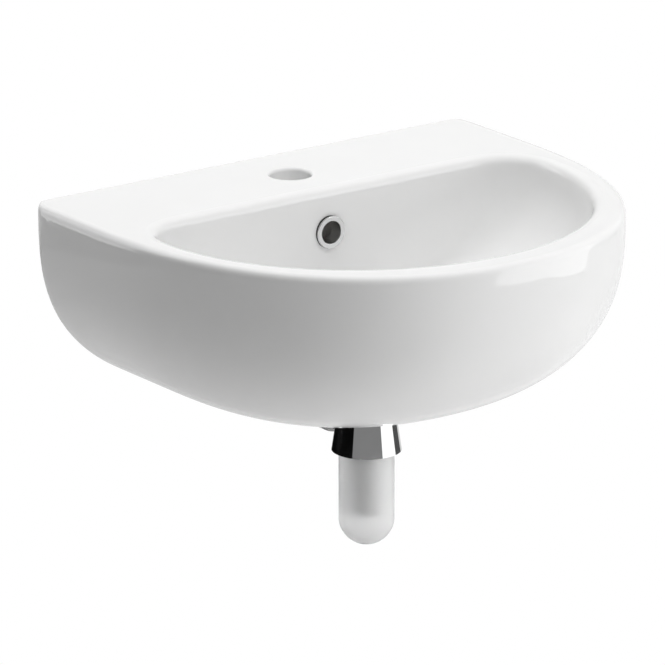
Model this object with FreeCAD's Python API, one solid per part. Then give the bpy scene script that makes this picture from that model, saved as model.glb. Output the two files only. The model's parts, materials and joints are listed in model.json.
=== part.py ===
import FreeCAD, Part
import math
import os

Vector = FreeCAD.Vector

# Wall-hung cloakroom basin in millimetres: the wall is the plane y = 0, the room lies towards -Y and +Z is up.
# The origin lies on the wall, midway between the two fixing holes. Depths are counted down from the deck.

# Basin outside
basin_width = 450.0
basin_reach = 379.0
foot_depth = 170.0
fixing_depth = 70.0
side_straight = 108.0
plan_power = 2.2
wall_corner = 19.0
rim_round_share = 0.2
back_edge_round = 3.0

# Belly curve under the rim: where it starts, how far it tucks in, and the two powers of its formula
belly_start = 12.0
belly_overrun = 7.5
side_tuck = 162.0
front_tuck = 200.0
belly_power = 2.7
belly_round = 1.7

# Bowl
ledge_width = 113.5
rim_side = 30.0
rim_front = 32.5
bowl_depth = 110.0
bowl_side_run = 5.0
bowl_power = 2.0
bowl_widest = 52.5
lip_round_share = 0.2833
bowl_back_draft = 4.0
floor_half_width = 46.0
floor_behind_waste = 38.5
floor_before_waste = 46.0
floor_corner = 30.0

# Ceramic walls and the hollow underneath
deck_thickness = 15.0
skirt_wall = 9.0
skirt_floor = 8.0
bowl_wall = 10.0
floor_thickness = 20.0
back_wall = 14.0
foot_width = 14.0
notch_half_width = 70.0
notch_top = 100.0
notch_round = 18.0

# Holes in the ceramic
fixing_spacing = 230.0
fixing_hole_radius = 7.0
tap_hole_radius = 17.5
tap_hole_setback = 58.7
tap_hole_round = 3.0
waste_from_ledge = 53.5
waste_hole_radius = 23.0
overflow_depth = 37.5
overflow_hole_radius = 11.0
duct_width = 24.0
duct_thickness = 10.0
duct_height = 9.0
duct_roof = 4.0
duct_wall = 10.0

# Overflow ring
ring_radius = 14.0
ring_bore = 9.75
ring_face = 1.2
ring_round = 0.6
ring_sleeve = 9.0
ring_seat = 1.2
ring_clearance = 0.15
overflow_seal_thickness = 2.8
overflow_seal_inset = 0.3

# Waste fitting
flange_radius = 33.0
flange_thickness = 3.0
flange_seal_thickness = 1.5
flange_seat = 2.0
flange_dish_radius = 25.0
flange_bevel = 1.0
flange_seal_inset = 1.0
tail_radius = 20.95
tail_bore = 18.2
tail_length = 43.0
slot_width = 14.0
seat_clearance = 0.6
thread_clearance = 0.15

# Back nut and washers under the basin
waste_washer_radius = 30.0
waste_washer_thickness = 3.0
slip_washer_thickness = 1.0
slip_washer_inset = 1.0
back_nut_flats = 52.0
back_nut_height = 9.0
back_nut_bevel = 2.2
back_nut_bevel_inset = 0.5

# Push plug and its click cartridge
plug_stroke = 8.0
cap_radius = 31.5
cap_edge = 2.0
cap_crown = 3.0
cap_bevel = 0.6
cap_boss_radius = 17.0
cap_hub_radius = 7.0
cap_hub_height = 5.0
plug_gap = 0.3
plug_seal_thickness = 1.2
plug_seal_radius = 22.4
stem_radius = 3.0
stem_foot_radius = 4.95
stem_foot_height = 3.2
cartridge_radius = 7.5
cartridge_bore = 5.0
cartridge_top_wall = 2.5
cartridge_floor = 3.0
spring_length = 18.0
spring_wire_radius = 0.45
spring_coil_radius = 3.9
spring_turns = 5
hub_radius = 9.5
hub_height = 10.0
hub_bore = 6.5
hub_above_tail_end = 3.5
arm_width = 4.0
arm_count = 3
running_clearance = 0.05

# Trap: union nut, housing, dip tube and cup
trap_washer_thickness = 2.5
trap_washer_bore = 13.0
inlet_flange_thickness = 3.0
inlet_flange_radius = 20.6
neck_radius = 17.7
neck_length = 5.5
union_nut_radius = 27.5
union_nut_overlap = 9.5
union_nut_lip = 3.5
union_nut_bevel = 1.2
grip_count = 10
grip_radius = 4.0
grip_sink = 1.4
bell_radius = 29.6
bell_taper = 0.149
bell_wall = 3.2
dip_tube_radius = 13.5
dip_tube_wall = 1.5
dip_tube_flange = 15.2
dip_tube_seat = 2.8
dip_tube_drop = 55.6
cup_radius = 23.5
cup_wall = 2.0
cup_room = 27.8
cup_engagement = 10.0
cup_seal_thickness = 2.4
cup_shoulder_gap = 1.5

# Outlet to the wall
branch_gap = 3.05
branch_radius = 18.5
branch_bore = 14.5
branch_thread_radius = 20.4
branch_length = 49.0
branch_thread_length = 18.0
socket_length = 17.0
pipe_radius = 16.0
pipe_wall = 1.4
pipe_into_wall = 45.0
outlet_nut_radius = 24.0
outlet_nut_round = 2.5
outlet_seal_length = 8.0
outlet_nut_lip = 4.0
outlet_nut_overlap = 9.0
flange_plate_radius = 32.0
flange_plate_edge = 2.0
flange_collar_radius = 19.0
flange_collar_length = 13.0
flange_collar_bevel = 1.0
flange_dish_depth = 4.0

# How finely the free-form outlines are drawn, and the margins of the cuts
curve_degree = 3
corner_steps = 6
side_steps = 5
front_steps = 16
rim_steps = 4
bowl_steps = 12
belly_rows = 14
edge_run_on = 1.5
cut_margin = 1.0
edge_tolerance = 0.05

# Depths and places that follow from the sizes above
rim_round = rim_side * rim_round_share
bowl_lip_round = rim_side * lip_round_share
bowl_corner = side_straight + bowl_widest - bowl_side_run - ledge_width
waste_setback = ledge_width + waste_from_ledge
seat_depth = bowl_depth + flange_seat
flange_bottom = seat_depth - flange_seal_thickness
flange_top = flange_bottom - flange_thickness
duct_top = seat_depth + duct_roof
duct_bottom = duct_top + duct_height
boss_bottom = bowl_depth + floor_thickness
tail_end = flange_bottom + tail_length
slip_top = boss_bottom + waste_washer_thickness
back_nut_top = slip_top + slip_washer_thickness
inlet_top = tail_end + trap_washer_thickness
inlet_shoulder = inlet_top + inlet_flange_thickness
union_nut_shoulder = inlet_shoulder + running_clearance
union_nut_bottom = union_nut_shoulder + union_nut_lip
outlet_depth = union_nut_bottom + branch_gap + branch_thread_radius
cup_seat = outlet_depth + branch_bore + cup_shoulder_gap
cup_top = cup_seat + cup_seal_thickness
bell_bottom = cup_top + cup_engagement
dip_tube_depth = bell_bottom + dip_tube_drop
cup_bottom = dip_tube_depth + cup_room
branch_end = waste_setback - branch_length
outlet_lip = branch_end - outlet_seal_length
belly_depth = foot_depth + belly_overrun
bowl_front = basin_reach - rim_front
bowl_half_width = basin_width / 2 - rim_side
hub_bottom = tail_end - hub_above_tail_end
hub_top = hub_bottom - hub_height
cap_bottom = flange_top - plug_gap - plug_stroke
spring_bottom = hub_bottom + cartridge_floor / 2
spring_top = spring_bottom - spring_length
foot_top = spring_top - stem_foot_height
cartridge_top = foot_top - plug_gap - cartridge_top_wall


def up(depth):
    """Height in the part's frame of a depth below the deck."""
    return fixing_depth - depth


# Shared makers
def revolved(profile, at, axis, across):
    """Full turn of a closed profile of (radius, height) pairs about an axis through a point."""
    points = [at + across * radius + axis * height for radius, height in profile]
    face = Part.Face(Part.makePolygon(points + points[:1]))
    return face.revolve(at, axis, 360)


def turned(profile):
    """Piece turned about the waste's upright axis, from (radius, depth) pairs."""
    heights = [(radius, up(depth)) for radius, depth in profile]
    return revolved(heights, Vector(0, -waste_setback, 0), Vector(0, 0, 1), Vector(1, 0, 0))


def washer(outer, inner, top, bottom):
    return turned([(inner, top), (outer, top), (outer, bottom), (inner, bottom)])


def turned_along_y(profile, depth):
    """Piece turned about a level axis square to the wall, from (radius, y) pairs."""
    return revolved(profile, Vector(0, 0, up(depth)), Vector(0, 1, 0), Vector(1, 0, 0))


def tube_along_y(outer, inner, front, back, depth):
    return turned_along_y([(inner, front), (outer, front), (outer, back), (inner, back)], depth)


def rod_along_y(radius, front, back, depth, x=0.0):
    return Part.makeCylinder(radius, back - front, Vector(x, front, up(depth)), Vector(0, 1, 0))


def box(half_width, front, back, top, bottom):
    """Box centred on the middle plane, between two y values and two depths."""
    corner = Vector(-half_width, front, up(bottom))
    return Part.makeBox(2 * half_width, back - front, bottom - top, corner)


def closed_solid(faces):
    shell = Part.makeShell(faces)
    shell.sewShape()
    solid = Part.makeSolid(shell)
    if solid.Volume < 0:
        solid.reverse()
    return solid


def knots_and_counts(poles):
    """Evenly spaced knots of a curve that starts and ends on its first and last pole."""
    knots = list(range(poles - curve_degree + 1))
    counts = [curve_degree + 1] + [1] * (len(knots) - 2) + [curve_degree + 1]
    return knots, counts


def drawn_face(rows, closed):
    """Smooth face over rows of poles; closed rows run round and meet themselves."""
    down_knots, down_counts = knots_and_counts(len(rows))
    if closed:
        along_knots = list(range(len(rows[0]) + 1))
        along_counts = [1] * len(along_knots)
    else:
        along_knots, along_counts = knots_and_counts(len(rows[0]))
    surface = Part.BSplineSurface()
    surface.buildFromPolesMultsKnots(
        rows, down_counts, along_counts, down_knots, along_knots, False, closed, curve_degree, curve_degree)
    return surface.toShape()


def level_edge(face, depth):
    """The edge of a drawn face that lies level at one depth."""
    height = up(depth)
    for edge in face.Edges:
        limits = edge.BoundBox
        if abs(limits.ZMin - height) < edge_tolerance and abs(limits.ZMax - height) < edge_tolerance:
            return edge
    raise ValueError("no level edge at depth %s" % depth)


def placed(outline, depth):
    return [Vector(x, y, up(depth)) for x, y in outline]


# Plan outlines
def front_curve(half, middle, reach, power):
    """Right half of the front as a superellipse, from the widest place to the front centre."""
    points = []
    for step in range(front_steps + 1):
        angle = math.pi / 2 * step / front_steps
        across = half * max(math.cos(angle), 0.0) ** (2 / power)
        out = middle + (reach - middle) * math.sin(angle) ** (2 / power)
        points.append((across, -out))
    return points


def rounded_corner(x, y, radius):
    """Quarter arc from the back line to the right-hand side, inside the corner at (x, y)."""
    points = []
    for step in range(corner_steps + 1):
        angle = math.pi / 2 * step / corner_steps
        points.append((x - radius + radius * math.sin(angle), y - radius + radius * math.cos(angle)))
    return points


def between(start, end, steps):
    """Points strictly between two points."""
    shares = [step / steps for step in range(1, steps)]
    return [(start[0] + (end[0] - start[0]) * s, start[1] + (end[1] - start[1]) * s) for s in shares]


def mirrored(points):
    return [(-x, y) for x, y in points]


def tuck(depth, amount):
    """How far the belly has drawn in at a depth."""
    share = max(depth - belly_start, 0.0) / (belly_depth - belly_start)
    return amount * (1 - (1 - share ** belly_power) ** (1 / belly_round))


def body_outline(depth, inset, back):
    """Outside of the basin at a depth, drawn in by an inset, from the left wall corner to the right one."""
    half = basin_width / 2 - tuck(depth, side_tuck) - inset
    reach = basin_reach - tuck(depth, front_tuck) - inset
    corner = wall_corner - min(inset, wall_corner / 2)
    right = [(half - corner - edge_run_on, back)]
    right += rounded_corner(half, back, corner)
    right += between(right[-1], (half, -side_straight), side_steps)
    right += front_curve(half, side_straight, reach, plan_power)
    return mirrored(right) + right[-2::-1]


def bowl_back(fall, sink):
    """Distance of the bowl's back wall from the wall plane, upright at first and round at the floor."""
    floor_back = waste_setback - floor_behind_waste
    round_in = (floor_back - ledge_width - bowl_back_draft) * fall ** 2
    return ledge_width + bowl_back_draft * sink + round_in


def bowl_outline(fall, sink, grow):
    """Bowl at a share of its fall to the floor, grown by a wall, from the front centre all the way round."""
    half = bowl_half_width + (floor_half_width - bowl_half_width) * fall + grow
    back = bowl_back(fall, sink) - grow
    floor_front = waste_setback + floor_before_waste
    front = bowl_front + (floor_front - bowl_front) * fall + grow
    corner = bowl_corner + (floor_corner - bowl_corner) * fall + grow
    middle = back + corner + bowl_side_run
    right = rounded_corner(half, -back, corner)
    right = between((0, -back), right[0], side_steps) + right
    right += between(right[-1], (half, -middle), side_steps // 2)
    right += front_curve(half, middle, front, bowl_power)
    return right[::-1] + [(0, -back)] + mirrored(right[:-1])


# Ceramic basin
def belly_depths(first, last):
    """Depths that crowd together towards the foot, where the belly turns under."""
    shares = [math.sin(math.pi / 2 * row / belly_rows) for row in range(belly_rows + 1)]
    return [first + (last - first) * share for share in shares]


def body_face():
    """Outside of the basin with its rounded rim, from the deck to the foot."""
    rows = [placed(body_outline(0, rim_round + edge_run_on, 0), 0)]
    for step in range(rim_steps):
        angle = math.pi / 2 * step / rim_steps
        inset = rim_round * (1 - math.sin(angle))
        depth = rim_round * (1 - math.cos(angle))
        rows.append(placed(body_outline(0, inset, 0), depth))
    for depth in belly_depths(rim_round, foot_depth):
        rows.append(placed(body_outline(depth, 0, 0), depth))
    return drawn_face(rows, False)


def bowl_face():
    """Inside of the bowl with its rounded lip, from the deck to the flat floor."""
    rows = [placed(bowl_outline(0, 0, bowl_lip_round + edge_run_on), 0)]
    for step in range(rim_steps):
        angle = math.pi / 2 * step / rim_steps
        outset = bowl_lip_round * (1 - math.sin(angle))
        depth = bowl_lip_round * (1 - math.cos(angle))
        rows.append(placed(bowl_outline(0, 0, outset), depth))
    rows += bowl_rows(0, bowl_lip_round, bowl_depth)
    return drawn_face(rows, True)


def bowl_rows(grow, top, floor):
    rows = []
    for step in range(bowl_steps + 1):
        angle = math.pi / 2 * step / bowl_steps
        depth = top + (floor - top) * math.sin(angle)
        rows.append(placed(bowl_outline(1 - math.cos(angle), math.sin(angle), grow), depth))
    rows.append(placed(bowl_outline(1 + edge_run_on / bowl_half_width, 1, grow), floor))
    return rows


def back_line(depth, inset, back):
    """The straight edge along the wall that closes an outline."""
    outline = body_outline(depth, inset, back)
    start, end = placed([outline[-1], outline[0]], depth)
    return Part.makeLine(start, end)


def body_block():
    """Basin outside and bowl as one solid, before it is hollowed from below."""
    outside = body_face()
    bowl = bowl_face()
    rim_edge = level_edge(outside, 0)
    foot_edge = level_edge(outside, foot_depth)
    deck_line = back_line(0, rim_round + edge_run_on, 0)
    foot_line = back_line(foot_depth, 0, 0)
    ends = [edge for edge in outside.Edges if edge.BoundBox.YLength < edge_tolerance]
    deck = Part.makeFace([Part.Wire([rim_edge, deck_line]), Part.Wire([level_edge(bowl, 0)])],
                         "Part::FaceMakerBullseye")
    foot = Part.Face(Part.Wire([foot_edge, foot_line]))
    back = Part.Face(Part.Wire(Part.__sortEdges__([deck_line, foot_line] + ends)))
    floor = Part.Face(Part.Wire([level_edge(bowl, bowl_depth)]))
    return closed_solid([outside, bowl, deck, foot, back, floor])


def skirt_inside():
    """Space inside the skirt, from the deck down to the foot."""
    rows = []
    top_depth = deck_thickness
    bottom_depth = foot_depth - skirt_floor
    for depth in belly_depths(top_depth, bottom_depth):
        rows.append(placed(body_outline(depth + skirt_floor, skirt_wall, -back_wall), depth))
    side = drawn_face(rows, False)
    top_line = back_line(top_depth + skirt_floor, skirt_wall, -back_wall)
    top_line.translate(Vector(0, 0, skirt_floor))
    bottom_line = back_line(bottom_depth + skirt_floor, skirt_wall, -back_wall)
    bottom_line.translate(Vector(0, 0, skirt_floor))
    ends = [edge for edge in side.Edges if edge.BoundBox.YLength < edge_tolerance]
    top = Part.Face(Part.Wire([level_edge(side, top_depth), top_line]))
    bottom = Part.Face(Part.Wire([level_edge(side, bottom_depth), bottom_line]))
    back = Part.Face(Part.Wire(Part.__sortEdges__([top_line, bottom_line] + ends)))
    return closed_solid([side, top, bottom, back])


def bowl_shell():
    """The bowl grown by its wall and floor thickness, which stays when the hollow is cut."""
    rows = [placed(bowl_outline(0, 0, bowl_wall), 0)]
    rows += bowl_rows(bowl_wall, bowl_lip_round, boss_bottom)
    side = drawn_face(rows, True)
    top = Part.Face(Part.Wire([level_edge(side, 0)]))
    bottom = Part.Face(Part.Wire([level_edge(side, boss_bottom)]))
    return closed_solid([side, top, bottom])


def duct_front():
    return -(ledge_width - bowl_wall)


def duct_back():
    return duct_front() + duct_thickness


def overflow_rib():
    """Ceramic round the overflow duct: down behind the bowl and in under its floor."""
    half = duct_width / 2 + duct_wall
    return box(half, -waste_setback, duct_back() + duct_wall, deck_thickness - cut_margin, boss_bottom)


def overflow_duct():
    """Water's way from the overflow hole to the slots of the waste."""
    half = duct_width / 2
    top = overflow_depth - overflow_hole_radius
    fall = box(half, duct_front(), duct_back(), top, duct_bottom)
    run = box(half, -waste_setback, duct_back(), duct_top, duct_bottom)
    inside_bowl = -waste_setback + floor_behind_waste
    mouth = rod_along_y(overflow_hole_radius, inside_bowl, duct_back() - cut_margin, overflow_depth)
    seat = rod_along_y(ring_radius + ring_clearance, inside_bowl, ring_back(), overflow_depth)
    return fall.fuse([run, mouth, seat])


def bowl_back_at(depth):
    """Place of the bowl's back wall at a depth."""
    sink = (depth - bowl_lip_round) / (bowl_depth - bowl_lip_round)
    return -bowl_back(1 - math.sqrt(1 - sink ** 2), sink)


def ring_back():
    return bowl_back_at(overflow_depth) + ring_seat


def foot_opening():
    """Way in from below, inside the ground foot ring."""
    outline = body_outline(foot_depth, foot_width, -back_wall)
    points = placed(outline, foot_depth + cut_margin)
    curve = Part.BSplineCurve()
    knots, counts = knots_and_counts(len(points))
    curve.buildFromPolesMultsKnots(points, counts, knots, False, curve_degree)
    edge = curve.toShape()
    closing = Part.makeLine(points[-1], points[0])
    face = Part.Face(Part.Wire([edge, closing]))
    return face.extrude(Vector(0, 0, skirt_floor + 2 * cut_margin))


def back_notch():
    """Cut-out in the back wall for the outlet, with rounded upper corners."""
    block = box(notch_half_width, -back_wall - cut_margin, cut_margin, notch_top, foot_depth + notch_round)
    upper = [edge for edge in block.Edges if is_upper_corner(edge)]
    return block.makeFillet(notch_round, upper)


def is_upper_corner(edge):
    limits = edge.BoundBox
    return limits.YLength > back_wall and limits.ZMin > up(notch_top + edge_tolerance)


def back_edge_trim():
    """What is taken off the top edge along the wall to round it."""
    length = basin_width + 2 * wall_corner
    size = back_edge_round
    block = Part.makeBox(length, 2 * size, 2 * size, Vector(-length / 2, -size, up(size)))
    rod = Part.makeCylinder(size, length, Vector(-length / 2, -size, up(size)), Vector(1, 0, 0))
    return block.cut(rod)


def make_basin_body():
    hollow = skirt_inside().cut(bowl_shell()).cut(overflow_rib())
    body = body_block().cut(hollow)
    body = body.cut(foot_opening())
    body = body.cut(back_notch())
    body = body.cut(back_edge_trim())
    tap_hole = Part.makeCylinder(
        tap_hole_radius, deck_thickness + 2 * cut_margin,
        Vector(0, -tap_hole_setback, up(deck_thickness + cut_margin)))
    body = body.cut(tap_hole)
    lip = [edge for edge in body.Edges if is_tap_lip(edge)]
    body = body.makeFillet(tap_hole_round, lip)
    waste_hole = washer(waste_hole_radius, 0, bowl_depth - flange_seat, boss_bottom + floor_thickness)
    seat = washer(flange_radius + seat_clearance, 0, bowl_depth - flange_seat, seat_depth)
    body = body.cut(waste_hole.fuse(seat))
    body = body.cut(overflow_duct())
    for side in (-1, 1):
        place = side * fixing_spacing / 2
        hole = rod_along_y(fixing_hole_radius, -back_wall - cut_margin, cut_margin, fixing_depth, place)
        body = body.cut(hole)
    return body.Solids[0]


def is_tap_lip(edge):
    limits = edge.BoundBox
    across = abs(limits.XLength - 2 * tap_hole_radius) < edge_tolerance
    along = abs(limits.YLength - 2 * tap_hole_radius) < edge_tolerance
    return across and along and limits.ZMin > up(edge_tolerance)


def make_overflow_ring():
    """Trim ring with a rounded face and a sleeve that plugs into the overflow hole."""
    seat = ring_back()
    back = seat - overflow_seal_thickness
    front = back - ring_face
    sleeve = overflow_hole_radius - ring_clearance
    ring = turned_along_y([
        (ring_bore, front), (ring_radius, front), (ring_radius, back), (sleeve, back),
        (sleeve, seat + ring_sleeve), (ring_bore, seat + ring_sleeve)], overflow_depth)
    lips = [edge for edge in ring.Edges if edge.BoundBox.YMax < front + edge_tolerance]
    return ring.makeFillet(ring_round, lips)


def make_overflow_seal():
    """Rubber ring that seats the trim ring on the bowl's back wall."""
    seat = ring_back()
    inner = overflow_hole_radius - ring_clearance + running_clearance
    outer = ring_radius - overflow_seal_inset
    return tube_along_y(outer, inner, seat - overflow_seal_thickness, seat, overflow_depth)


# Waste fitting
def make_waste_body():
    """Flange, slotted tail and the spider that carries the click cartridge."""
    tail = turned([
        (tail_bore, flange_bottom), (flange_dish_radius, flange_top),
        (flange_radius - flange_bevel, flange_top), (flange_radius, flange_top + flange_bevel),
        (flange_radius, flange_bottom), (tail_radius, flange_bottom),
        (tail_radius, tail_end), (tail_bore, tail_end)])
    centre = Vector(0, -waste_setback, up(duct_bottom))
    for turn in (0, 90):
        corner = Vector(-slot_width / 2, -2 * tail_radius, 0)
        slot = Part.makeBox(slot_width, 4 * tail_radius, duct_height, corner)
        slot.rotate(Vector(0, 0, 0), Vector(0, 0, 1), turn)
        slot.translate(centre)
        tail = tail.cut(slot)
    arm_start = (hub_bore + hub_radius) / 2
    arm_end = (tail_bore + tail_radius) / 2
    hub = washer(hub_radius, hub_bore, hub_top, hub_bottom)
    for arm in range(arm_count):
        bar = Part.makeBox(arm_end - arm_start, arm_width, hub_height, Vector(arm_start, -arm_width / 2, 0))
        bar.rotate(Vector(0, 0, 0), Vector(0, 0, 1), 360 / arm_count * arm)
        bar.translate(Vector(0, -waste_setback, up(hub_bottom)))
        hub = hub.fuse(bar)
    return tail.fuse(hub).removeSplitter()


def make_flange_seal():
    return washer(flange_radius - flange_seal_inset, waste_hole_radius, flange_bottom, seat_depth)


def make_waste_washer():
    return washer(waste_washer_radius, tail_radius + thread_clearance, boss_bottom, slip_top)


def make_slip_washer():
    outer = waste_washer_radius - slip_washer_inset
    return washer(outer, tail_radius + thread_clearance, slip_top, back_nut_top)


def make_back_nut():
    """Hexagon nut with its corners taken off on the lower side."""
    corner_radius = back_nut_flats / math.sqrt(3)
    bottom = back_nut_top + back_nut_height
    points = []
    for corner in range(6):
        angle = math.pi / 3 * corner
        points.append(Vector(corner_radius * math.cos(angle), corner_radius * math.sin(angle), 0))
    prism = Part.Face(Part.makePolygon(points + points[:1])).extrude(Vector(0, 0, back_nut_height))
    prism.translate(Vector(0, -waste_setback, up(bottom)))
    envelope = turned([
        (0, back_nut_top), (corner_radius, back_nut_top), (corner_radius, bottom - back_nut_bevel),
        (back_nut_flats / 2 - back_nut_bevel_inset, bottom), (0, bottom)])
    bore = washer(tail_radius + thread_clearance, 0, back_nut_top - cut_margin, bottom + cut_margin)
    return prism.common(envelope).cut(bore)


# Push plug
def make_plug_cap():
    """Domed cap with the boss that holds the seal and the hub that takes the stem."""
    boss_end = cap_bottom + plug_seal_thickness
    hub_end = cap_bottom + cap_hub_height
    edge_top = cap_bottom - cap_edge
    crown = edge_top - cap_crown
    dome_edge = cap_radius - cap_bevel
    dome_radius = (dome_edge ** 2 + cap_crown ** 2) / (2 * cap_crown)
    half_way = math.asin(dome_edge / dome_radius) / 2
    dome = Part.Arc(
        Vector(0, 0, up(crown)),
        Vector(dome_radius * math.sin(half_way), 0, up(crown + dome_radius * (1 - math.cos(half_way)))),
        Vector(dome_edge, 0, up(edge_top)))
    corners = [
        (dome_edge, edge_top), (cap_radius, edge_top + cap_bevel), (cap_radius, cap_bottom),
        (cap_boss_radius, cap_bottom), (cap_boss_radius, boss_end), (cap_hub_radius, boss_end),
        (cap_hub_radius, hub_end), (stem_radius + running_clearance, hub_end),
        (stem_radius + running_clearance, stem_top()), (0, stem_top()), (0, crown)]
    wall = Part.makePolygon([Vector(radius, 0, up(depth)) for radius, depth in corners])
    face = Part.Face(Part.Wire([dome.toShape()] + wall.Edges))
    cap = face.revolve(Vector(0, 0, 0), Vector(0, 0, 1), 360)
    cap.translate(Vector(0, -waste_setback, 0))
    return cap


def stem_top():
    return cap_bottom - cap_edge / 2


def make_plug_seal():
    inner = cap_boss_radius + running_clearance
    return washer(plug_seal_radius, inner, cap_bottom, cap_bottom + plug_seal_thickness)


def make_plug_stem():
    foot_bottom = foot_top + stem_foot_height
    return turned([
        (0, stem_top()), (stem_radius, stem_top()), (stem_radius, foot_top), (stem_foot_radius, foot_top),
        (stem_foot_radius, foot_bottom), (0, foot_bottom)])


def make_click_cartridge():
    """Brass sleeve that sits on the spider's hub and guides the stem's foot."""
    bottom = spring_bottom + cartridge_floor
    top_bore = stem_radius + running_clearance
    stub = hub_bore - running_clearance
    ceiling = cartridge_top + cartridge_top_wall
    return turned([
        (top_bore, cartridge_top), (cartridge_radius, cartridge_top), (cartridge_radius, hub_top),
        (stub, hub_top), (stub, bottom), (0, bottom), (0, spring_bottom), (cartridge_bore, spring_bottom),
        (cartridge_bore, ceiling), (top_bore, ceiling)])


def make_click_spring():
    """Coil under the stem's foot, wound from half-turn arcs between a start and an end on the axis's sides."""
    lowest = up(spring_bottom) + 2 * spring_wire_radius
    highest = up(spring_top) - 2 * spring_wire_radius
    half_turns = 2 * spring_turns

    def coil_point(turns):
        angle = 2 * math.pi * turns
        height = lowest + (highest - lowest) * turns / spring_turns
        across = spring_coil_radius * math.cos(angle)
        along = spring_coil_radius * math.sin(angle)
        return Vector(across, along - waste_setback, height)

    arcs = []
    for half in range(half_turns):
        start = half / 2
        arcs.append(Part.Arc(coil_point(start), coil_point(start + 0.25), coil_point(start + 0.5)).toShape())
    path = Part.Wire(arcs)
    direction = arcs[0].tangentAt(arcs[0].FirstParameter)
    section = Part.Wire([Part.makeCircle(spring_wire_radius, coil_point(0), direction)])
    pitch = (highest - lowest) / spring_turns
    print("spring gap between turns", round(pitch - 2 * spring_wire_radius, 2))
    return path.makePipeShell([section], True, False)


# Trap
def bell_radius_at(depth):
    return bell_radius - (bell_bottom - depth) * bell_taper


def make_trap_washer():
    return washer(inlet_flange_radius, trap_washer_bore, tail_end, inlet_top)


def make_union_nut():
    """Round union nut with grip hollows round its side."""
    top = tail_end - union_nut_overlap
    shoulder = union_nut_shoulder
    bottom = union_nut_bottom
    wide = union_nut_radius
    narrow = union_nut_radius - union_nut_bevel
    nut = turned([
        (tail_radius + thread_clearance, top), (narrow, top), (wide, top + union_nut_bevel),
        (wide, bottom - union_nut_bevel), (narrow, bottom),
        (neck_radius + thread_clearance, bottom), (neck_radius + thread_clearance, shoulder),
        (tail_radius + thread_clearance, shoulder)])
    away = union_nut_radius + grip_radius - grip_sink
    for grip in range(grip_count):
        angle = 2 * math.pi * grip / grip_count
        place = Vector(away * math.cos(angle), away * math.sin(angle) - waste_setback, up(bottom + cut_margin))
        nut = nut.cut(Part.makeCylinder(grip_radius, bottom - top + 2 * cut_margin, place))
    return nut


def make_trap_body():
    """Conical housing with its inlet flange above and its outlet branch towards the wall."""
    neck_end = inlet_shoulder + neck_length
    cone_top = neck_end + (bell_radius_at(neck_end) - neck_radius) / 2
    roof = cone_top + bell_wall / 2
    outside = turned([
        (0, inlet_top), (inlet_flange_radius, inlet_top), (inlet_flange_radius, inlet_shoulder),
        (neck_radius, inlet_shoulder), (neck_radius, neck_end), (bell_radius_at(cone_top), cone_top),
        (bell_radius, bell_bottom), (0, bell_bottom)])
    tube_bore = dip_tube_radius + thread_clearance
    cup_bore = cup_radius + running_clearance
    flange_bore = dip_tube_flange + thread_clearance
    tube_seat = inlet_top + dip_tube_seat
    waterway = cup_radius - cup_wall
    above = inlet_top - cut_margin
    below = bell_bottom + cut_margin
    inside = turned([
        (0, above), (flange_bore, above), (flange_bore, tube_seat), (tube_bore, tube_seat),
        (tube_bore, roof), (bell_radius_at(roof) - bell_wall, roof + bell_wall / 2), (waterway, cup_seat),
        (cup_bore, cup_seat), (cup_bore, below), (0, below)])
    thread_start = -branch_end - branch_thread_length
    branch = rod_along_y(branch_radius, -waste_setback, -branch_end, outlet_depth)
    thread = rod_along_y(branch_thread_radius, thread_start, -branch_end, outlet_depth)
    bore = rod_along_y(branch_bore, -waste_setback, -branch_end, outlet_depth)
    socket = rod_along_y(
        pipe_radius + running_clearance, -branch_end - socket_length, -branch_end + cut_margin, outlet_depth)
    return outside.fuse([branch, thread]).cut(inside.fuse([bore, socket])).removeSplitter()


def make_dip_tube():
    bore = dip_tube_radius - dip_tube_wall
    seat = inlet_top + dip_tube_seat
    return turned([
        (bore, inlet_top), (dip_tube_flange, inlet_top), (dip_tube_flange, seat), (dip_tube_radius, seat),
        (dip_tube_radius, dip_tube_depth), (bore, dip_tube_depth)])


def make_cup_seal():
    """Flat ring between the housing's shoulder and the cup's upper edge."""
    return washer(cup_radius, cup_radius - cup_wall + running_clearance,
                  cup_seat + running_clearance, cup_top - running_clearance)


def make_trap_cup():
    """Cup with a round end that screws up into the housing."""
    centre = up(cup_bottom - cup_radius)
    inner = cup_radius - cup_wall
    slant = math.sqrt(0.5)

    def quarter(radius):
        return Part.Arc(
            Vector(radius, 0, centre), Vector(radius * slant, 0, centre - radius * slant),
            Vector(0, 0, centre - radius)).toShape()

    rim = Part.makePolygon([
        Vector(inner, 0, centre), Vector(inner, 0, up(cup_top)), Vector(cup_radius, 0, up(cup_top)),
        Vector(cup_radius, 0, centre)])
    keel = Part.makeLine(Vector(0, 0, centre - cup_radius), Vector(0, 0, centre - inner))
    edges = Part.__sortEdges__(rim.Edges + [quarter(cup_radius), keel, quarter(inner)])
    cup = Part.Face(Part.Wire(edges)).revolve(Vector(0, 0, 0), Vector(0, 0, 1), 360)
    cup.translate(Vector(0, -waste_setback, 0))
    return cup


# Outlet
def make_outlet_nut():
    front = -branch_end - outlet_nut_overlap
    shoulder = -outlet_lip
    back = shoulder + outlet_nut_lip
    nut = turned_along_y([
        (branch_thread_radius + thread_clearance, front), (outlet_nut_radius, front), (outlet_nut_radius, back),
        (pipe_radius + thread_clearance, back), (pipe_radius + thread_clearance, shoulder),
        (branch_thread_radius + thread_clearance, shoulder)], outlet_depth)
    rims = [edge for edge in nut.Edges if is_outer_rim(edge)]
    return nut.makeFillet(outlet_nut_round, rims)


def is_outer_rim(edge):
    limits = edge.BoundBox
    return limits.YLength < edge_tolerance and abs(limits.XLength - 2 * outlet_nut_radius) < edge_tolerance


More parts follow.
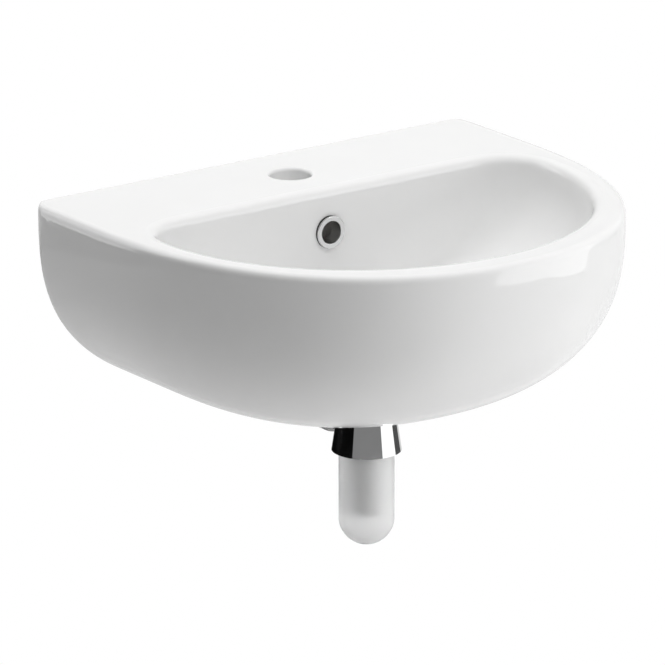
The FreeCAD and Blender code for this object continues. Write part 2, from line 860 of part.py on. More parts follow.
def make_outlet_seal():
    inner = pipe_radius + running_clearance
    return tube_along_y(branch_thread_radius, inner, -branch_end, -outlet_lip, outlet_depth)


def make_outlet_pipe():
    start = -branch_end - socket_length
    return tube_along_y(pipe_radius, pipe_radius - pipe_wall, start, pipe_into_wall, outlet_depth)


def make_wall_flange():
    """Dished cover plate that slides along the pipe and hides the hole in the wall."""
    bore = pipe_radius + running_clearance
    knee = (flange_plate_radius + flange_collar_radius) / 2
    return turned_along_y([
        (bore, -flange_collar_length), (flange_collar_radius - flange_collar_bevel, -flange_collar_length),
        (flange_collar_radius, -flange_collar_length + flange_collar_bevel),
        (knee, -flange_plate_edge - flange_dish_depth),
        (flange_plate_radius, -flange_plate_edge), (flange_plate_radius, 0), (bore, 0)], outlet_depth)


PIECES = {
    "basin_body": make_basin_body,
    "overflow_ring": make_overflow_ring,
    "overflow_seal": make_overflow_seal,
    "waste_body": make_waste_body,
    "waste_flange_seal": make_flange_seal,
    "waste_washer": make_waste_washer,
    "waste_slip_washer": make_slip_washer,
    "waste_back_nut": make_back_nut,
    "plug_cap": make_plug_cap,
    "plug_seal": make_plug_seal,
    "plug_stem": make_plug_stem,
    "click_cartridge": make_click_cartridge,
    "click_spring": make_click_spring,
    "trap_union_nut": make_union_nut,
    "trap_inlet_washer": make_trap_washer,
    "trap_body": make_trap_body,
    "trap_dip_tube": make_dip_tube,
    "trap_cup_seal": make_cup_seal,
    "trap_cup": make_trap_cup,
    "outlet_nut": make_outlet_nut,
    "outlet_seal": make_outlet_seal,
    "outlet_pipe": make_outlet_pipe,
    "wall_flange": make_wall_flange,
}

os.makedirs("parts", exist_ok=True)
for name, make in PIECES.items():
    piece = make()
    print(name, "valid", piece.isValid(), "solids", len(piece.Solids), "volume", round(piece.Volume, 1))
    piece.exportStep("parts/%s.step" % name)
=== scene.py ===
# %% [markdown]
# A wall-hung cloakroom basin, dressed for its picture
#
# The basin is a D-shaped bowl of white glazed ceramic that hangs on a wall. A chrome ring trims its
# overflow, and under it hang a chrome bottle trap with a frosted cup, a nut and the pipe into the
# wall. The engineering model already holds every piece at its real size. A second model could be made
# for the picture alone, but then the two would have to be kept alike. So this lesson keeps the
# engineering pieces and adds what they lack: glaze, chrome, frosted plastic, rubber and brass, a
# spring wound anew, and a small studio.

# %% Load the frame
import json
import math

import bpy
from mathutils import Matrix, Vector


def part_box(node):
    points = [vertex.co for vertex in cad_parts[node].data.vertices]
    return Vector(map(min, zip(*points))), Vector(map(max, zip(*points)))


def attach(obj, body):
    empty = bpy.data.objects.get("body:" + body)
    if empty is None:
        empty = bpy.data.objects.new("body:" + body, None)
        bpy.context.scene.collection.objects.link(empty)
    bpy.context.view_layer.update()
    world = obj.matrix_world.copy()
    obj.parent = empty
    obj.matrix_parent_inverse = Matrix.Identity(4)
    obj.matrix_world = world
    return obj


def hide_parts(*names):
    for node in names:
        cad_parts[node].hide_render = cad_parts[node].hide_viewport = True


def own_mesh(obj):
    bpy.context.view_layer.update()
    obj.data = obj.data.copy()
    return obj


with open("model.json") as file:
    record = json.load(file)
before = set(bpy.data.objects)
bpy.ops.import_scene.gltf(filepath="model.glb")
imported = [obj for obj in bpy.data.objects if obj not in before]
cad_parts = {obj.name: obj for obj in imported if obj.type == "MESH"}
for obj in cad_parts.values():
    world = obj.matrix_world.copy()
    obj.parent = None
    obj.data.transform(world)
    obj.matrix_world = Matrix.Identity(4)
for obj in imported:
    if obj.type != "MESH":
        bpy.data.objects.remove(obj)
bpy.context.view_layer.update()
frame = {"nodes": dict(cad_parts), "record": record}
nodes = frame["nodes"]
scene = bpy.context.scene
scene.view_settings.view_transform = "Standard"

# %% [markdown]
# The camera stands where the photographer stood: to the left of the basin, a little above its rim and
# far away, with a long lens. A long lens keeps the far side of the rim almost as large as the near
# side. A camera could be pushed about by eye until the picture fits. Here its place was fitted to the
# basin's rim, holes and trap, and it is written as two angles and a distance from a point to aim at,
# so that each number means something by itself.

# %% Camera
camera_azimuth = math.radians(36.182)
camera_elevation = math.radians(17.372)
camera_distance = 5.8058
camera_aim = Vector((-0.0375, -0.1699, -0.0348))
camera_reach = 50.0
sensor_width = 36.0
focal_length = 378.95

straight_up = Vector((0.0, 0.0, 1.0))
to_right = Vector((math.cos(camera_azimuth), -math.sin(camera_azimuth), 0.0))
to_camera = Vector((-math.sin(camera_azimuth), -math.cos(camera_azimuth), 0.0))
ahead = -to_camera * math.cos(camera_elevation) - straight_up * math.sin(camera_elevation)
upward = to_right.cross(ahead)

camera_data = bpy.data.cameras.new("photo_camera")
camera_data.sensor_width = sensor_width
camera_data.lens = focal_length
camera_data.clip_end = camera_reach
camera = bpy.data.objects.new("photo_camera", camera_data)
turn = Matrix((to_right, upward, -ahead)).transposed()
camera.matrix_world = Matrix.Translation(camera_aim - ahead * camera_distance) @ turn.to_4x4()
scene.collection.objects.link(camera)
scene.camera = camera
print("camera at", [round(value, 3) for value in camera.location])

# %% [markdown]
# Real finishes are never quite even: hands smear chrome, glaze clouds over, rubber goes grey. That
# could be drawn as images, but an image has to be laid out on every piece. A noise in the object's
# own coordinates needs no layout, and it stays on a piece that moves. The pieces are in metres, so a
# noise of scale 50 has patches of about 20 millimetres. The noise node keeps mostly to the middle of
# its range, so it is stretched before it is used. Each finish also has plain values on its shader's
# sockets, for programs that read no noise.

# %% Noise for the finishes
noise_middle = (0.3, 0.7)


def new_finish(name, colour, roughness, metallic=0.0):
    """A material with its tree, its Principled shader and the object's own coordinates."""
    material = bpy.data.materials.new(name)
    material.use_nodes = True
    tree = material.node_tree
    shader = tree.nodes["Principled BSDF"]
    shader.inputs["Base Color"].default_value = colour
    shader.inputs["Roughness"].default_value = roughness
    shader.inputs["Metallic"].default_value = metallic
    place = tree.nodes.new("ShaderNodeTexCoord")
    return material, tree, shader, place.outputs["Object"]


def feed(tree, socket, value):
    """Links a node's output to a socket, or writes a plain value there."""
    if isinstance(value, bpy.types.NodeSocket):
        tree.links.new(value, socket)
    else:
        socket.default_value = value


def noise(tree, place, scale, detail=2.0):
    node = tree.nodes.new("ShaderNodeTexNoise")
    node.inputs["Scale"].default_value = scale
    node.inputs["Detail"].default_value = detail
    tree.links.new(place, node.inputs["Vector"])
    return node.outputs["Fac"]


def level_between(tree, value, low, high, start=0.0, end=1.0):
    """A level that goes from low to high while a value goes from its start to its end."""
    node = tree.nodes.new("ShaderNodeMapRange")
    feed(tree, node.inputs["Value"], value)
    feed(tree, node.inputs["From Min"], start)
    feed(tree, node.inputs["From Max"], end)
    feed(tree, node.inputs["To Min"], low)
    feed(tree, node.inputs["To Max"], high)
    return node.outputs["Result"]


def spread(tree, value, low=0.0, high=1.0):
    """Stretches a noise, which keeps to the middle of its range, between two levels."""
    return level_between(tree, value, low, high, *noise_middle)


print("a noise keeps mostly between", *noise_middle)

# %% [markdown]
# Chrome plate is a mirror with a cool cast. It covers the overflow ring, the waste, the plug, the
# trap's housing, its nuts and the pipe. Handling leaves faint smears on it. They could be painted on
# as grey spots, but a smear hardly changes the colour: it shows only as a slightly duller patch of
# the mirror. So the noise goes into the roughness and nowhere else.

# %% Chrome plate
chrome_cool = (0.625, 0.627, 0.63, 1.0)
chrome_roughness = 0.03
smear_roughness = (0.015, 0.05)
smear_scale = 55.0
smear_detail = 4.0
finishes = {}


def keep_finish(slot, material):
    finishes[slot] = material
    print("made", material.name, "from", len(material.node_tree.nodes), "nodes")


def plate_chrome():
    material, tree, shader, place = new_finish("chrome_plate", chrome_cool, chrome_roughness, 1.0)
    smears = spread(tree, noise(tree, place, smear_scale, smear_detail), *smear_roughness)
    feed(tree, shader.inputs["Roughness"], smears)
    return material


keep_finish("chrome", plate_chrome())

# %% [markdown]
# The ceramic isn't glazed alike all over. The foot and the back, which lies against the wall, are
# wiped bare before firing. The overflow duct inside is bare as well, and its clay is painted darker
# there as painted shade. The tap hole gets a paler white, which is painted light that brightens its
# wall. Each could be a material of its own on chosen faces, but an imported mesh has faces without
# names. A mask worked out from the place on the object needs none: it is one where a finish belongs
# and nothing elsewhere. The tap hole's place and size come from the record, and the duct is a box
# inside the ceramic.

# %% Places on the ceramic
duct_low = Vector((-0.0125, -0.105, -0.08))
duct_high = Vector((0.0125, -0.0925, 0.045))
tap_lip = 0.0035
tap_depth = 0.011
deck_skin = 0.0002

basin_low, basin_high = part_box("basin_body")
tap_mount = next(mount for mount in frame["record"]["mounts"] if mount["name"] == "tap_hole")
tap_middle = Vector(tap_mount["pos_m"])
tap_radius = tap_mount["dims"]["r_mm"] / 1000
tap_reach = tap_radius + tap_lip
tap_low = tap_middle - Vector((tap_reach, tap_reach, tap_depth))
tap_high = Vector((tap_middle.x + tap_reach, tap_middle.y + tap_reach, basin_high.z - deck_skin))


def number_step(tree, operation, first, second):
    """One step of arithmetic on two numbers or sockets."""
    node = tree.nodes.new("ShaderNodeMath")
    node.operation = operation
    feed(tree, node.inputs[0], first)
    feed(tree, node.inputs[1], second)
    return node.outputs["Value"]


def vector_step(tree, operation, first, second=(0.0, 0.0, 0.0)):
    """The same on places or directions."""
    node = tree.nodes.new("ShaderNodeVectorMath")
    node.operation = operation
    feed(tree, node.inputs[0], first)
    feed(tree, node.inputs[1], second)
    return node.outputs["Vector"]


def coordinates(tree, place):
    split = tree.nodes.new("ShaderNodeSeparateXYZ")
    tree.links.new(place, split.inputs["Vector"])
    return split.outputs


def beyond(tree, place, axis, start, full):
    """One on the far side of a plane and nothing before it, with a short soft edge."""
    return level_between(tree, coordinates(tree, place)[axis], 0.0, 1.0, start, full)


def inside_box(tree, place, low, high):
    """One inside a box that is given by its lowest and highest corners, and nothing outside."""
    from_middle = vector_step(tree, "SUBTRACT", place, (low + high) / 2)
    share = vector_step(tree, "DIVIDE", from_middle, (high - low) / 2)
    size = coordinates(tree, vector_step(tree, "ABSOLUTE", share))
    widest = number_step(tree, "MAXIMUM", size["X"], size["Y"])
    widest = number_step(tree, "MAXIMUM", widest, size["Z"])
    return number_step(tree, "LESS_THAN", widest, 1.0)


print("tap hole", round(2 * tap_radius, 4), "m wide, at", [round(value, 4) for value in tap_middle])

# %% [markdown]
# Glaze is a clear glass skin over a white clay body. One shiny white shader could stand for both, but
# two layers show it better: a white underneath that has no shine of its own, and a clear coat over it
# that is almost a mirror. Fired glaze is never quite flat, so the coat gets a very shallow wave, and
# a slow cloud of a milkier white keeps the colour from being dead even. The masks lay over that a
# paler white in the tap hole, which is painted light, bare clay at the back and the foot, and in the
# duct a darker clay, which is bare clay with painted shade. They take the coat off where the clay is
# bare.

# %% Glazed ceramic
glaze_white = (0.9, 0.9, 0.897, 1.0)
glaze_milky = (0.92, 0.92, 0.917, 1.0)
# painted light: the paler white in the tap hole brightens its wall
hole_painted_light_white = (0.97, 0.97, 0.967, 1.0)
bare_clay = (0.78, 0.76, 0.72, 1.0)
# bare clay of the duct, painted darker as painted shade inside it
duct_clay_painted_shade = (0.56, 0.55, 0.53, 1.0)
glaze_roughness = 0.3
glaze_cloud_scale = 12.0
glaze_ends = 0.0012
glaze_gone = 0.0004
hole_light_begin = 0.0005
hole_light_full = 0.006
coat_roughness = 0.02
coat_ior = 1.5
wave_scale = 60.0
wave_detail = 1.0
wave_depth = 0.000008


def tint(tree, factor, first, second):
    """A colour that goes from the first to the second, each a colour or a socket, as a factor grows."""
    node = tree.nodes.new("ShaderNodeMix")
    node.data_type = "RGBA"
    feed(tree, node.inputs["Factor"], factor)
    feed(tree, node.inputs["A"], first)
    feed(tree, node.inputs["B"], second)
    return node.outputs["Result"]


def relief(tree, height, depth, socket):
    """Bump of a real depth in metres on a shader's surface or on its coat."""
    node = tree.nodes.new("ShaderNodeBump")
    node.inputs["Distance"].default_value = depth
    tree.links.new(height, node.inputs["Height"])
    tree.links.new(node.outputs["Normal"], socket)


def fire_glaze():
    material, tree, shader, place = new_finish("white_glaze", glaze_white, glaze_roughness)
    back = beyond(tree, place, "Y", basin_high.y - glaze_ends, basin_high.y - glaze_gone)
    foot = beyond(tree, place, "Z", basin_low.z + glaze_ends, basin_low.z + glaze_gone)
    bare = number_step(tree, "MAXIMUM", back, foot)
    # the duct is bare clay, and its darker colour there is painted shade
    duct = inside_box(tree, place, duct_low, duct_high)
    sunk = beyond(tree, place, "Z", basin_high.z - hole_light_begin, basin_high.z - hole_light_full)
    # painted light: a paler white inside the tap hole, fading in below the deck
    hole_painted_light = level_between(tree, inside_box(tree, place, tap_low, tap_high), 0.0, sunk)
    skin = tint(tree, spread(tree, noise(tree, place, glaze_cloud_scale)), glaze_white, glaze_milky)
    for mask, colour in ((hole_painted_light, hole_painted_light_white), (bare, bare_clay), (duct, duct_clay_painted_shade)):
        skin = tint(tree, mask, skin, colour)
    feed(tree, shader.inputs["Base Color"], skin)
    uncoated = number_step(tree, "MAXIMUM", bare, duct)
    feed(tree, shader.inputs["Coat Weight"], number_step(tree, "SUBTRACT", 1.0, uncoated))
    shader.inputs["Specular IOR Level"].default_value = 0.0
    shader.inputs["Coat Roughness"].default_value = coat_roughness
    shader.inputs["Coat IOR"].default_value = coat_ior
    relief(tree, noise(tree, place, wave_scale, wave_detail), wave_depth, shader.inputs["Coat Normal"])
    return material


keep_finish("ceramic", fire_glaze())

# %% [markdown]
# The cup at the end of the trap is moulded in a frosted, see-through plastic. The pale studio lights
# its edges, and the grey tube that leads the water down shows inside it as a darker core. A dark
# stripe painted on the cup could stand for the core, but it would go along when the cup is taken off.
# So the cup lets light through a rough surface with a fine grain, and the tube is a piece of its own,
# with marks drawn out along its length.

# %% Frosted cup and grey tube
cup_clear = (0.96, 0.96, 0.96, 1.0)
cup_roughness = 0.76
cup_transmission = 0.9
cup_ior = 1.4
cup_grain_scale = 900.0
cup_grain_detail = 3.0
cup_grain_roughness = (0.72, 0.8)
tube_grey = (0.33, 0.335, 0.34, 1.0)
tube_dark = (0.32, 0.32, 0.32, 1.0)
tube_pale = (0.38, 0.38, 0.38, 1.0)
tube_roughness = 0.45
tube_marks = (60.0, 60.0, 4.0)
tube_mark_scale = 20.0
tube_mark_detail = 3.0


def frost_cup():
    material, tree, shader, place = new_finish("frosted_cup", cup_clear, cup_roughness)
    shader.inputs["Transmission Weight"].default_value = cup_transmission
    shader.inputs["IOR"].default_value = cup_ior
    grain = noise(tree, place, cup_grain_scale, cup_grain_detail)
    feed(tree, shader.inputs["Roughness"], spread(tree, grain, *cup_grain_roughness))
    return material


def drawn_out(tree, place, scale):
    """Coordinates scaled apart by axis, for marks that run one way."""
    node = tree.nodes.new("ShaderNodeMapping")
    node.inputs["Scale"].default_value = scale
    tree.links.new(place, node.inputs["Vector"])
    return node.outputs["Vector"]


def draw_tube():
    material, tree, shader, place = new_finish("grey_tube", tube_grey, tube_roughness)
    marks = noise(tree, drawn_out(tree, place, tube_marks), tube_mark_scale, tube_mark_detail)
    feed(tree, shader.inputs["Base Color"], tint(tree, spread(tree, marks), tube_dark, tube_pale))
    return material


keep_finish("satin_cup", frost_cup())
keep_finish("tube", draw_tube())

# %% [markdown]
# Black rubber seals and washers sit in the joints, and the edge of one shows beside the overflow
# ring as a thin black band, which is also painted shade: it stands for the shadow in the gap round
# the ring. Rubber is matt and goes grey in patches as it ages. An even black would lose its shape in
# the picture, so a cloud moves it between two near blacks, and a fine bump takes the last shine off.

# %% Rubber seals
rubber_black = (0.03, 0.03, 0.03, 1.0)
rubber_deep = (0.022, 0.022, 0.022, 1.0)
rubber_bloom = (0.05, 0.05, 0.048, 1.0)
rubber_roughness = 0.75
bloom_scale = 120.0
bloom_detail = 5.0
rubber_grain_scale = 1500.0
rubber_grain_depth = 0.00005


def mould_rubber():
    material, tree, shader, place = new_finish("black_rubber", rubber_black, rubber_roughness)
    bloom = spread(tree, noise(tree, place, bloom_scale, bloom_detail))
    feed(tree, shader.inputs["Base Color"], tint(tree, bloom, rubber_deep, rubber_bloom))
    relief(tree, noise(tree, place, rubber_grain_scale), rubber_grain_depth, shader.inputs["Normal"])
    return material


keep_finish("rubber", mould_rubber())

# %% [markdown]
# A thin washer of milky nylon lets the nut under the basin turn without dragging the rubber along.
# Nylon takes a little light in and spreads it. A plain white would look chalky there, so the shader
# lets a small share of the light travel under the surface.

# %% Nylon washer
nylon_milky = (0.82, 0.82, 0.79, 1.0)
nylon_deep = (0.80, 0.80, 0.77, 1.0)
nylon_pale = (0.85, 0.85, 0.83, 1.0)
nylon_roughness = 0.5
nylon_cloud_scale = 80.0
nylon_glow = 0.1
nylon_glow_radius = 0.002


def mould_nylon():
    material, tree, shader, place = new_finish("moulded_nylon", nylon_milky, nylon_roughness)
    cloud = spread(tree, noise(tree, place, nylon_cloud_scale))
    feed(tree, shader.inputs["Base Color"], tint(tree, cloud, nylon_deep, nylon_pale))
    shader.inputs["Subsurface Weight"].default_value = nylon_glow
    shader.inputs["Subsurface Radius"].default_value = (nylon_glow_radius,) * 3
    return material


keep_finish("nylon", mould_nylon())

# %% [markdown]
# The hexagon nut under the basin, the plug's stem and the sleeve that guides it are turned from
# brass. A lathe leaves rings round its work. They could be cut into the mesh, but they are far finer
# than its faces. So a noise that is pressed flat along the axis makes them, in the roughness and in a
# slight bump, over a colour that wanders a little.

# %% Turned brass
brass_gold = (0.74, 0.57, 0.28, 1.0)
brass_brown = (0.70, 0.52, 0.24, 1.0)
brass_pale = (0.78, 0.62, 0.32, 1.0)
brass_roughness = 0.25
brass_cloud_scale = 90.0
lathe_rings = (1.0, 1.0, 60.0)
ring_scale = 40.0
ring_detail = 3.0
ring_roughness = (0.18, 0.36)
ring_depth = 0.00002


def turn_brass():
    material, tree, shader, place = new_finish("turned_brass", brass_gold, brass_roughness, 1.0)
    rings = noise(tree, drawn_out(tree, place, lathe_rings), ring_scale, ring_detail)
    feed(tree, shader.inputs["Roughness"], spread(tree, rings, *ring_roughness))
    cloud = spread(tree, noise(tree, place, brass_cloud_scale))
    feed(tree, shader.inputs["Base Color"], tint(tree, cloud, brass_brown, brass_pale))
    relief(tree, rings, ring_depth, shader.inputs["Normal"])
    return material


keep_finish("brass", turn_brass())

# %% [markdown]
# The spring under the plug's stem is wound from drawn steel wire. Its surface is a dull mirror with
# fine streaks. The wire is less than a millimetre thick, so a small noise in the roughness is all
# that can be seen of them.

# %% Spring wire
wire_steel = (0.56, 0.56, 0.57, 1.0)
wire_roughness = 0.3
streak_scale = 700.0
streak_detail = 4.0
streak_roughness = (0.22, 0.42)


def draw_wire():
    material, tree, shader, place = new_finish("spring_wire", wire_steel, wire_roughness, 1.0)
    streaks = noise(tree, place, streak_scale, streak_detail)
    feed(tree, shader.inputs["Roughness"], spread(tree, streaks, *streak_roughness))
    return material


keep_finish("spring_steel", draw_wire())

# %% [markdown]
# Every piece has a row in the record, which names its finish. The finishes could be put on by hand,
# piece by piece. A loop over the rows does the same and forgets none. Only the tube in the trap
# departs from its row: it is nylon, as the washer is, but grey.

# %% Give every piece its finish
own_finish = {"trap_dip_tube": "tube"}
subparts = frame["record"]["subparts"]
for row in subparts:
    piece = nodes[row["node"]]
    chosen = own_finish.get(row["node"], row["material_slot"])
    piece.data.materials.clear()
    piece.data.materials.append(finishes[chosen])
print("finished", len(subparts), "pieces with", len(finishes), "finishes")

# %% [markdown]
# A coil spring inside the brass sleeve lifts the plug again. The engineering model holds it as a
# rigid coil, and the plug's stem would run into that when it is pressed. So the coil is wound anew
# here, as a curve with a round bevel that becomes a mesh, and it takes the place of the rigid coil,
# which is hidden.

# %% Spring wound anew
spring_turns = 5
spring_wire_radius = 0.00045
spring_wire_roundness = 3
steps_per_turn = 24


def wind_spring():
    low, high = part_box("click_spring")
    middle = (low + high) / 2
    coil_radius = (high.x - low.x) / 2 - spring_wire_radius
    lowest = low.z + spring_wire_radius
    rise = high.z - low.z - 2 * spring_wire_radius
    curve = bpy.data.curves.new("spring_line", "CURVE")
    curve.dimensions = "3D"
    curve.bevel_depth = spring_wire_radius
    curve.bevel_resolution = spring_wire_roundness
    curve.use_fill_caps = True
    line = curve.splines.new("POLY")
    steps = spring_turns * steps_per_turn
    line.points.add(steps)
    for step, point in enumerate(line.points):
        angle = 2 * math.pi * step / steps_per_turn
        across = middle.x + coil_radius * math.cos(angle)
        along_y = middle.y + coil_radius * math.sin(angle)
        point.co = (across, along_y, lowest + rise * step / steps, 1.0)
    mesh = bpy.data.meshes.new_from_object(bpy.data.objects.new("spring_line", curve))
    mesh.polygons.foreach_set("use_smooth", [True] * len(mesh.polygons))
    mesh.materials.clear()
    mesh.materials.append(finishes["spring_steel"])
    return bpy.data.objects.new("coil_spring", mesh)


spring = wind_spring()
scene.collection.objects.link(spring)
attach(spring, "basin")
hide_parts("click_spring")
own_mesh(spring)

# %% [markdown]
# A pale floor under the basin throws light back up at its belly. It could be left in sight, but its
# edge would show behind the trap, and from a low viewpoint the floor would hide the basin. So the
# camera, the mirrors and the frosted cup all look past it, and only the light that bounces meets it.

# %% Pale floor
floor_level = -0.78
floor_half = 2.4
floor_pale = (0.62, 0.62, 0.62, 1.0)
floor_roughness = 0.9


def lay_floor():
    signs = [(-1, -1), (1, -1), (1, 1), (-1, 1)]
    corners = [(x * floor_half, y * floor_half, floor_level) for x, y in signs]
    mesh = bpy.data.meshes.new("studio_floor")
    mesh.from_pydata(corners, [], [tuple(range(len(corners)))])
    mesh.materials.append(new_finish("studio_floor", floor_pale, floor_roughness)[0])
    floor = bpy.data.objects.new("studio_floor", mesh)
    floor.visible_camera = False
    floor.visible_glossy = False
    floor.visible_transmission = False
    scene.collection.objects.link(floor)
    return floor


studio_floor = lay_floor()
print("floor", round(studio_floor.dimensions.x, 2), "m wide, at", floor_level)

# %% [markdown]
# The background is plain white to the camera. If the world shone as white on everything, the ceramic
# would have no shade and the mirrors nothing to show. So the world gives each kind of ray its own
# answer, through the Light Path node. The light that falls on the ceramic comes from a sky that grows
# brighter upwards. Mirrors see a room that is dim on the left, bright on the right, pale behind the
# basin and dark straight below. The frosted cup sees a bright room over a dark floor through itself.
# Each answer goes from one level to another along a direction.

# %% White room
room_white = (1.0, 1.0, 1.0, 1.0)
sky_level = 0.74
left_level = 0.25
right_level = 0.88
left_to_right = (-0.8, 0.8)
behind_level = 0.75
behind_left = 0.5
behind_right = 0.9
behind_sides = (-0.2, 0.2)
behind_heights = (-0.15, 0.1)
towards_behind = (0.4, 0.9)
floor_mirrored = 0.4
mirrored_fall = (-0.95, -0.55)
floor_seen = 0.05
seen_fall = (-0.75, -0.25)


def along(tree, direction, axis):
    """How far a direction points along an axis: one straight along it and nothing at right angles."""
    node = tree.nodes.new("ShaderNodeVectorMath")
    node.operation = "DOT_PRODUCT"
    node.inputs[1].default_value = axis
    tree.links.new(direction, node.inputs[0])
    return node.outputs["Value"]


def mirrored_room(tree, direction, up):
    across = along(tree, direction, to_right)
    sides = level_between(tree, across, left_level, right_level, *left_to_right)
    low_behind = level_between(tree, across, behind_left, behind_right, *behind_sides)
    behind = level_between(tree, up, low_behind, behind_level, *behind_heights)
    room = level_between(tree, along(tree, direction, -to_camera), sides, behind, *towards_behind)
    below = level_between(tree, up, floor_mirrored, 1.0, *mirrored_fall)
    return number_step(tree, "MULTIPLY", room, below)


def paint_room():
    world = bpy.data.worlds.new("studio_world")
    scene.world = world
    world.use_nodes = True
    tree = world.node_tree
    back = tree.nodes["Background"]
    back.inputs["Color"].default_value = room_white
    direction = tree.nodes.new("ShaderNodeTexCoord").outputs["Generated"]
    ray = tree.nodes.new("ShaderNodeLightPath").outputs
    up = along(tree, direction, straight_up)
    sky = level_between(tree, up, 0.0, sky_level)
    through_cup = level_between(tree, up, floor_seen, 1.0, *seen_fall)
    level = level_between(tree, ray["Is Glossy Ray"], sky, mirrored_room(tree, direction, up))
    level = level_between(tree, ray["Is Transmission Ray"], level, through_cup)
    level = level_between(tree, ray["Is Camera Ray"], level, 1.0)
    feed(tree, back.inputs["Strength"], level)
    return world


studio_world = paint_room()
print("room painted with", len(studio_world.node_tree.nodes), "nodes")

# %% [markdown]
# The lamps are soft boxes: square area lamps, each placed by its bearing round the basin, its height
# and its distance. One large lamp could light it all, but the form of the basin would be lost. So two
# stand on the right and brighten that side of the front, one hangs above, and one stands high up
# behind. None shows in the mirrors, which get cards of their own in later cells.

# %% Soft lamps
basin_middle = Vector((0.0, -0.17, 0.0))


def round_basin(bearing):
    """Level direction from the basin: bearings count from the camera's side towards the picture's right."""
    angle = math.radians(bearing)
    return to_camera * math.cos(angle) + to_right * math.sin(angle)


def soft_lamp(name, bearing, height, distance, side, power, aim=basin_middle):
    data = bpy.data.lights.new(name, "AREA")
    data.size = side
    data.energy = power
    lamp = bpy.data.objects.new(name, data)
    lamp.location = basin_middle + round_basin(bearing) * distance + straight_up * height
    lamp.rotation_euler = (aim - lamp.location).to_track_quat("-Z", "Y").to_euler()
    lamp.visible_glossy = False
    scene.collection.objects.link(lamp)
    return lamp


lamps = [
    soft_lamp("right_lamp", bearing=66.0, height=-0.1, distance=2.2, side=1.2, power=16.8),
    soft_lamp("side_lamp", bearing=85.0, height=-0.6, distance=2.2, side=1.2, power=13.7),
    soft_lamp("top_lamp", bearing=40.0, height=1.9, distance=0.25, side=1.6, power=15.4),
    soft_lamp("back_lamp", bearing=190.0, height=1.7, distance=1.0, side=1.6, power=9.5),
]
print(len(lamps), "lamps of", round(sum(lamp.data.energy for lamp in lamps), 1), "watts")

# %% [markdown]
# The wall of the tap hole glows a little, because light also comes up through the hole from the
# hollow under the deck. More light under the whole basin would bring that, but it would burn out the
# belly. A lamp no larger than a coin, in the hollow below the hole, does it without that, and the
# paler white in the hole, which is painted light, adds to it. The lamp's beam is narrow and points at
# the wall that faces the camera, so little else is lit.

# %% Lamp for the tap hole
tap_beam = math.radians(60.0)
tap_aim_rise = 0.001
tap_hole_wall = tap_middle - to_camera * tap_radius + straight_up * tap_aim_rise

tap_lamp = soft_lamp(
    "tap_hole_lamp", bearing=210.0, height=-0.02, distance=0.0926, side=0.02, power=0.0036,
    aim=tap_hole_wall)
tap_lamp.data.spread = tap_beam
print("tap hole lamp at", [round(value, 4) for value in tap_lamp.location])

# %% [markdown]
# The left side and the belly need a little light of their own. One lamp stands at the back on the
# left, and two small ones lie under the belly. They could shine on everything, as the others do, but
# then they would light up the frosted cup from within and wash out its dark core. So the cup looks
# past them, and past the lamp of the tap hole as well.

# %% Lamps that the cup looks past
low_lamps = [
    soft_lamp("left_lamp", bearing=-130.0, height=0.1, distance=2.2, side=1.0, power=12.3),
    soft_lamp("under_lamp", bearing=10.0, height=-0.72, distance=0.35, side=0.8, power=1.13),
    soft_lamp("under_left_lamp", bearing=-100.0, height=-0.7, distance=0.55, side=0.6, power=1.0),
]
lamps_past_cup = [tap_lamp, *low_lamps]
for lamp in lamps_past_cup:
    lamp.visible_transmission = False
print(len(lamps_past_cup), "lamps that the cup looks past")

# %% [markdown]
# Chrome only looks like chrome when it has something to mirror. A photographer stands dark, grey and
# white cards round it. Flat cards would do, but each would have to be moved about until it shows in
# the right place. The trap's flank leans like a cone, so each upright line on it mirrors one
# direction: the camera's own line of sight turned about the surface. A ribbon is built along those
# directions, so the flank shows black on the left, grey in front, a white stripe and a dark right
# edge. The ribbons are low, so the upright ceramic hardly meets them.

# %% Ribbons for the chrome
flank_slope = 0.149
flank_lean = math.atan(flank_slope)
flank_radius = 0.028
trap_centre = Vector((0.0, -0.167, -0.13))
ribbon_steps = 24
near_ribbon = {"distance": 1.25, "half_height": 0.045}
far_ribbon = {"distance": 8.0, "half_height": 0.2}


def stand_card(name, points, faces, tone):
    """A glowing card that only mirrors see. Gives its tree and the socket for a share of its tone."""
    mesh = bpy.data.meshes.new(name)
    mesh.from_pydata(points, [], faces)
    material = bpy.data.materials.new(name)
    material.use_nodes = True
    tree = material.node_tree
    tree.nodes.clear()
    output = tree.nodes.new("ShaderNodeOutputMaterial")
    glow = tree.nodes.new("ShaderNodeEmission")
    glow.inputs["Color"].default_value = (tone, tone, tone, 1.0)
    tree.links.new(glow.outputs["Emission"], output.inputs["Surface"])
    mesh.materials.append(material)
    card = bpy.data.objects.new(name, mesh)
    card.visible_camera = False
    card.visible_diffuse = False
    card.visible_transmission = False
    card.visible_shadow = False
    scene.collection.objects.link(card)
    return tree, glow.inputs["Strength"]


def flank_mirrors(bearing):
    """Direction that the trap's flank mirrors to the camera where its surface faces a bearing."""
    normal = round_basin(bearing) * math.cos(flank_lean) + straight_up * math.sin(flank_lean)
    return ahead - 2 * ahead.dot(normal) * normal


def ribbon(name, start, end, tone, distance, half_height):
    points = []
    for step in range(ribbon_steps + 1):
        bearing = start + (end - start) * step / ribbon_steps
        middle = trap_centre + round_basin(bearing) * flank_radius + flank_mirrors(bearing) * distance
        points.append(middle - straight_up * half_height)
        points.append(middle + straight_up * half_height)
    firsts = range(0, 2 * ribbon_steps, 2)
    faces = [(first, first + 1, first + 3, first + 2) for first in firsts]
    stand_card(name, points, faces, tone)
    print(name, "from", start, "to", end, "degrees")


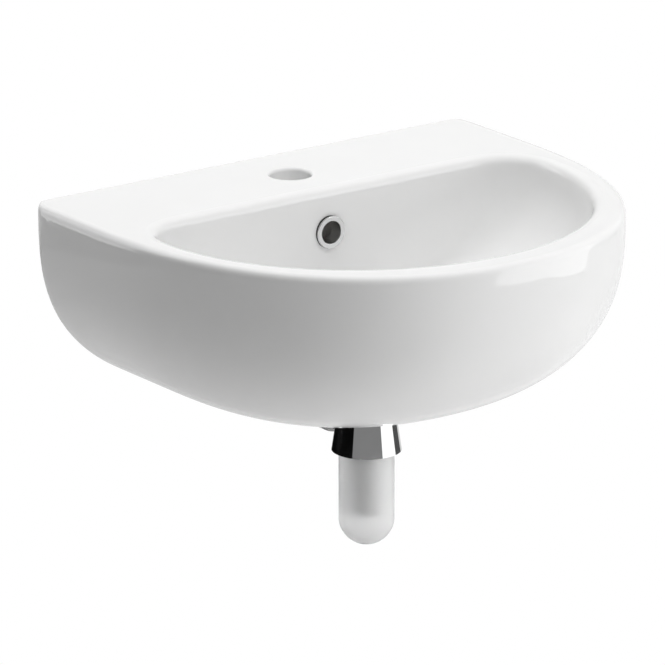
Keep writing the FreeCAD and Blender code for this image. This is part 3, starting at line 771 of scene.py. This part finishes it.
ribbon("black_ribbon", start=-84.0, end=-24.0, tone=0.004, **near_ribbon)
ribbon("grey_ribbon", start=-24.0, end=27.0, tone=0.3, **far_ribbon)
ribbon("white_ribbon", start=27.0, end=55.0, tone=1.75, **far_ribbon)
ribbon("dark_ribbon", start=55.0, end=74.0, tone=0.11, **far_ribbon)

# %% [markdown]
# The glaze mirrors only a twentieth of the light, so it shows nothing but the brightest things in the
# room: two soft boxes. One stands far to the left and draws a pale band under the left edge of the
# rim. The other stands on the right and leaves a pale patch on the front of the rim. Real lamps could
# be mirrored instead, but then light and reflection could not be set apart. Each box is a panel,
# given by the bearings and elevations of its corners as the rim sees them. The left one is even, and
# the right one fades from its first corner to its third. Both stand behind the ribbons, so that the
# chrome keeps its own pattern.

# %% Soft boxes for the glaze
panel_distance = 10.0
left_rim = Vector((-0.224, -0.085, 0.06))
left_corners = [(-119.0, -14.0), (-97.5, -15.8), (-90.0, 50.0), (-119.0, 50.0)]
front_rim = Vector((0.024, -0.375, 0.06))
right_corners = [(62.5, -17.8), (84.0, -18.3), (112.0, -18.7), (116.0, 22.0), (67.0, 27.0)]
left_tone = 2.1
right_tone = 3.1
right_far_share = 0.7


def sight_line(bearing, elevation):
    angle = math.radians(elevation)
    return round_basin(bearing) * math.cos(angle) + straight_up * math.sin(angle)


def panel(name, seen_from, corners, tone):
    """An even card with its corners on lines of sight. Gives them, its tree and the share's socket."""
    points = [seen_from + sight_line(*corner) * panel_distance for corner in corners]
    tree, share = stand_card(name, points, [tuple(range(len(points)))], tone)
    print(name, round((points[2] - points[0]).length, 1), "m across")
    return points, tree, share


def fade(tree, points, far_share):
    """A share that falls from the whole at the first corner of a card to less at its third."""
    across = points[2] - points[0]
    axis = across.normalized()
    start = points[0].dot(axis)
    place = tree.nodes.new("ShaderNodeTexCoord").outputs["Object"]
    passed = along(tree, place, axis)
    return level_between(tree, passed, 1.0, far_share, start, start + across.length)


panel("left_panel", left_rim, left_corners, left_tone)
points, tree, share = panel("right_panel", front_rim, right_corners, right_tone)
feed(tree, share, fade(tree, points, right_far_share))
